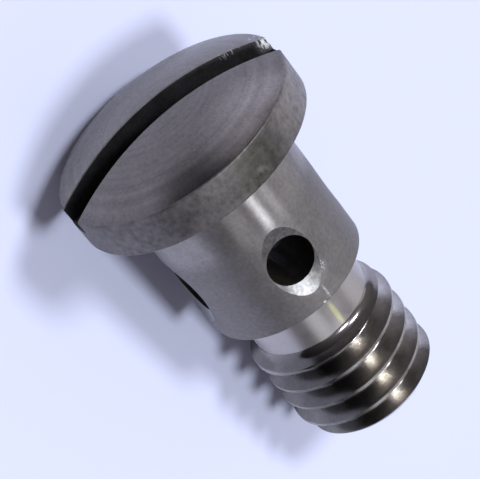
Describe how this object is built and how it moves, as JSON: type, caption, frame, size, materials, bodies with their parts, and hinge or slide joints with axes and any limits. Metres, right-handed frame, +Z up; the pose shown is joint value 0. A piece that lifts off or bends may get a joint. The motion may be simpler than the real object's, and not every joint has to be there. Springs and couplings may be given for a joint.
{
  "type": "slotted shoulder screw",
  "caption": "Turned steel shoulder screw with a low domed slotted head, a plain shoulder with crossing holes, a relieved neck and a short coarse thread.",
  "frame": {"origin": "centre of the bounding box's underside, on the surface the screw lies on", "axes": "+X along the screw from the head toward the thread tip, level with the ground; the screw's own axis dips 8.7 degrees toward the tip, because it rests on the head's rim and the last crest; +Z up"},
  "size_m": [0.0156, 0.0096, 0.0096],
  "materials": {
    "steel": "satin turned steel with fine lathe marks"
  },
  "bodies": {
    "root": {"screw": "steel"}
  },
  "joints": []
}
